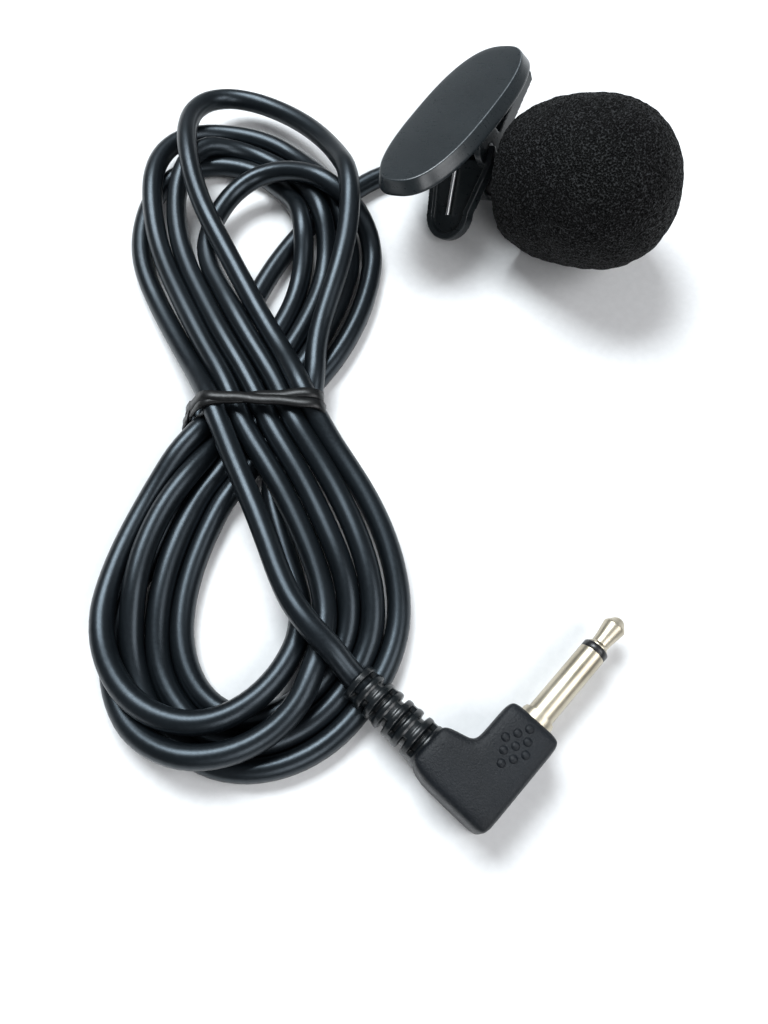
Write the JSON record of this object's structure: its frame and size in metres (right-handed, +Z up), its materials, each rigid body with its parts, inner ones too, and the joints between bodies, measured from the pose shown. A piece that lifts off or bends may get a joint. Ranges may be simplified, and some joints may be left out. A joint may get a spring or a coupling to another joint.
{
  "type": "lavalier microphone",
  "caption": "Small tie-clip microphone with a foam ball windscreen, a spring clip, and a thin cord tied in a hank that ends in an angled 3.5 mm mono plug.",
  "frame": {"origin": "bottom centre of the microphone with its clip, on the surface they lie on, the cord and plug left out", "axes": "+X is the way the microphone points, seen from above; +Y is the way the clip's jaws point; +Z is up"},
  "size_m": [0.1038, 0.1187, 0.0259],
  "materials": {
    "windscreen_foam": "open-cell black foam, matt",
    "mic_shell": "black moulded plastic, satin",
    "grille_mesh": "etched mesh",
    "relief_rubber": "black soft moulding",
    "capsule_metal": "satin can",
    "capsule_rubber": "soft black ring",
    "board_green": "glass-fibre board with tinned pads",
    "lead_insulation": "thin insulated wire",
    "clip_plastic": "slate black ABS, satin",
    "pin_steel": "drawn steel",
    "spring_wire": "bright spring wire",
    "cord_pvc": "black PVC, semi-gloss",
    "tie_plastic": "flat black wrapping tie",
    "boot_pvc": "glossy black ribbed boot",
    "plug_moulding": "fine-grained black moulding",
    "plug_metal": "nickel-plated, warm",
    "plug_insulator": "black insulating ring",
    "liner_plastic": "natural nylon tube"
  },
  "bodies": {
    "microphone": {"mic_head": "mic_shell", "mic_grille": "grille_mesh", "mic_barrel": "mic_shell", "mic_strain_relief": "relief_rubber", "capsule_can": "capsule_metal", "capsule_holder": "capsule_rubber", "capsule_board": "board_green", "capsule_leads": "lead_insulation", "mic_cable": "cord_pvc", "cable_hank": "cord_pvc", "twist_tie": "tie_plastic", "plug_cable": "cord_pvc", "plug_boot": "boot_pvc", "plug_body": "plug_moulding", "plug_shoulder": "plug_metal", "plug_sleeve": "plug_metal", "plug_ring": "plug_insulator", "plug_tip": "plug_metal", "plug_liner": "liner_plastic", "tip_lug": "plug_metal", "sleeve_lug": "plug_metal", "plug_leads": "lead_insulation"},
    "clip_inner": {"clip_inner_half": "clip_plastic", "hinge_pin": "pin_steel", "clip_spring": "spring_wire"},
    "clip_outer": {"clip_plate": "clip_plastic", "spring_plate_leg": "spring_wire"},
    "windscreen": {"foam_windscreen": "windscreen_foam"}
  },
  "joints": [
    {"name": "clip_swivel", "type": "hinge", "parent": "microphone", "child": "clip_inner", "pos_m": [-0.00876, 0, 0.00543], "axis": [0.9135, 0, 0.4067], "range_deg": [-60, 60]},
    {"name": "clip_hinge", "type": "hinge", "parent": "clip_inner", "child": "clip_outer", "pos_m": [-0.01233, 0, 0.00975], "axis": [0.9135, 0, 0.4067], "range_deg": [0, 28], "stiffness_Nm_per_rad": 0.05, "springref_deg": -34.38},
    {"name": "windscreen_pull", "type": "slide", "parent": "microphone", "child": "windscreen", "axis": [0.9135, 0, 0.4067], "range_m": [0, 0.015]}
  ]
}
